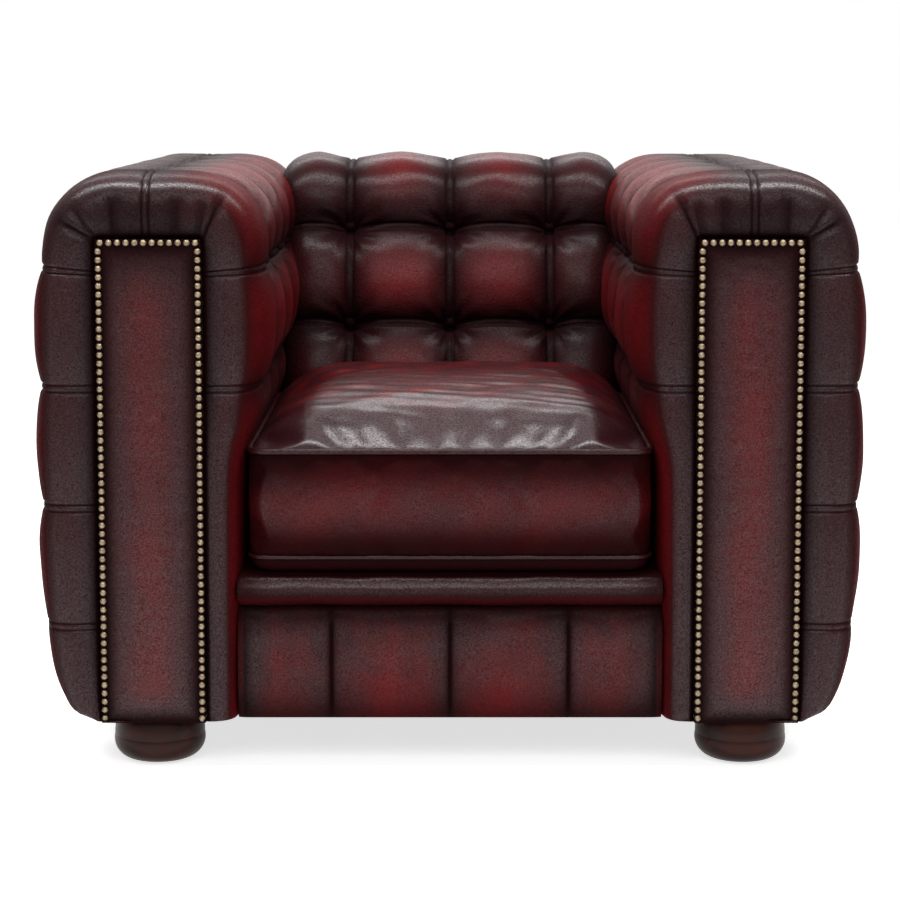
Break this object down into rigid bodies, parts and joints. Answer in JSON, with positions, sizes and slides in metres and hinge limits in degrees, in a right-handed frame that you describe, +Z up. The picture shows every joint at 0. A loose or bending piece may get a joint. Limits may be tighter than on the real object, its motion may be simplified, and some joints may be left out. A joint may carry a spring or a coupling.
{
  "type": "chesterfield armchair",
  "caption": "Boxy deep-tufted leather club armchair with level arms and back, nailed front panels, one loose piped seat cushion and turned bun feet.",
  "frame": {"origin": "on the floor, under the middle of the chair's bounding box", "axes": "+Z up; the chair faces -Y; +X is the sitter's left"},
  "size_m": [1.0798, 0.9299, 0.768],
  "materials": {
    "oxblood_leather": "antiqued two-tone hide, soft sheen",
    "foam": "open-cell upholstery foam",
    "hardwood_frame": "sawn hardwood",
    "panel_board": "plywood and hardboard",
    "mahogany": "dark polished",
    "steel": "plain",
    "antique_nail": "pale antique brass",
    "webbing": "woven elastic webbing",
    "hessian": "coarse weave",
    "deck_lining": "plain platform cloth",
    "dust_cloth": "black non-woven",
    "zip_tape": "woven tape, nylon coil",
    "glide_plastic": "moulded"
  },
  "bodies": {
    "root": {"left_arm_cover": "oxblood_leather", "right_arm_cover": "oxblood_leather", "left_facing_cover": "oxblood_leather", "right_facing_cover": "oxblood_leather", "back_cover": "oxblood_leather", "front_roll_cover": "oxblood_leather", "front_rail_cover": "oxblood_leather", "arm_outer_buttons": "oxblood_leather", "arm_inner_buttons": "oxblood_leather", "back_inside_buttons": "oxblood_leather", "back_rear_buttons": "oxblood_leather", "left_arm_foam": "foam", "right_arm_foam": "foam", "back_foam": "foam", "seat_deck_pad": "foam", "front_roll_foam": "foam", "front_rail_pad": "foam", "facing_wadding": "foam", "left_arm_front_board": "hardwood_frame", "right_arm_front_board": "hardwood_frame", "left_arm_rear_board": "hardwood_frame", "right_arm_rear_board": "hardwood_frame", "left_arm_top_rail": "hardwood_frame", "right_arm_top_rail": "hardwood_frame", "left_seat_side_rail": "hardwood_frame", "right_seat_side_rail": "hardwood_frame", "arm_base_rails": "hardwood_frame", "back_posts": "hardwood_frame", "back_top_board": "hardwood_frame", "back_rear_uprights": "hardwood_frame", "seat_front_rail": "hardwood_frame", "seat_spring_rail": "hardwood_frame", "seat_rear_rail": "hardwood_frame", "frame_dowels": "hardwood_frame", "foot_blocks": "hardwood_frame", "arm_side_panels": "panel_board", "facing_boards": "panel_board", "back_rear_panel": "panel_board", "front_left_foot": "mahogany", "front_right_foot": "mahogany", "rear_left_foot": "mahogany", "rear_right_foot": "mahogany", "seat_springs": "steel", "spring_clips": "steel", "foot_bolts": "steel", "foot_nuts": "steel", "block_screws": "steel", "dust_cover_staples": "steel", "facing_nails": "antique_nail", "back_webbing": "webbing", "seat_hessian": "hessian", "seat_deck_lining": "deck_lining", "dust_cover": "dust_cloth", "foot_glides": "glide_plastic"},
    "cushion": {"seat_cushion_core": "foam", "seat_cushion_cover": "oxblood_leather", "seat_cushion_piping": "oxblood_leather", "cushion_zip": "zip_tape"},
    "zip_slider": {"zip_slider": "steel"}
  },
  "joints": [
    {"name": "cushion_slide", "type": "slide", "parent": "root", "child": "cushion", "axis": [0, -1, 0], "range_m": [0, 0.55]},
    {"name": "zip_slide", "type": "slide", "parent": "cushion", "child": "zip_slider", "axis": [-1, 0, 0], "range_m": [0, 0.418]}
  ]
}
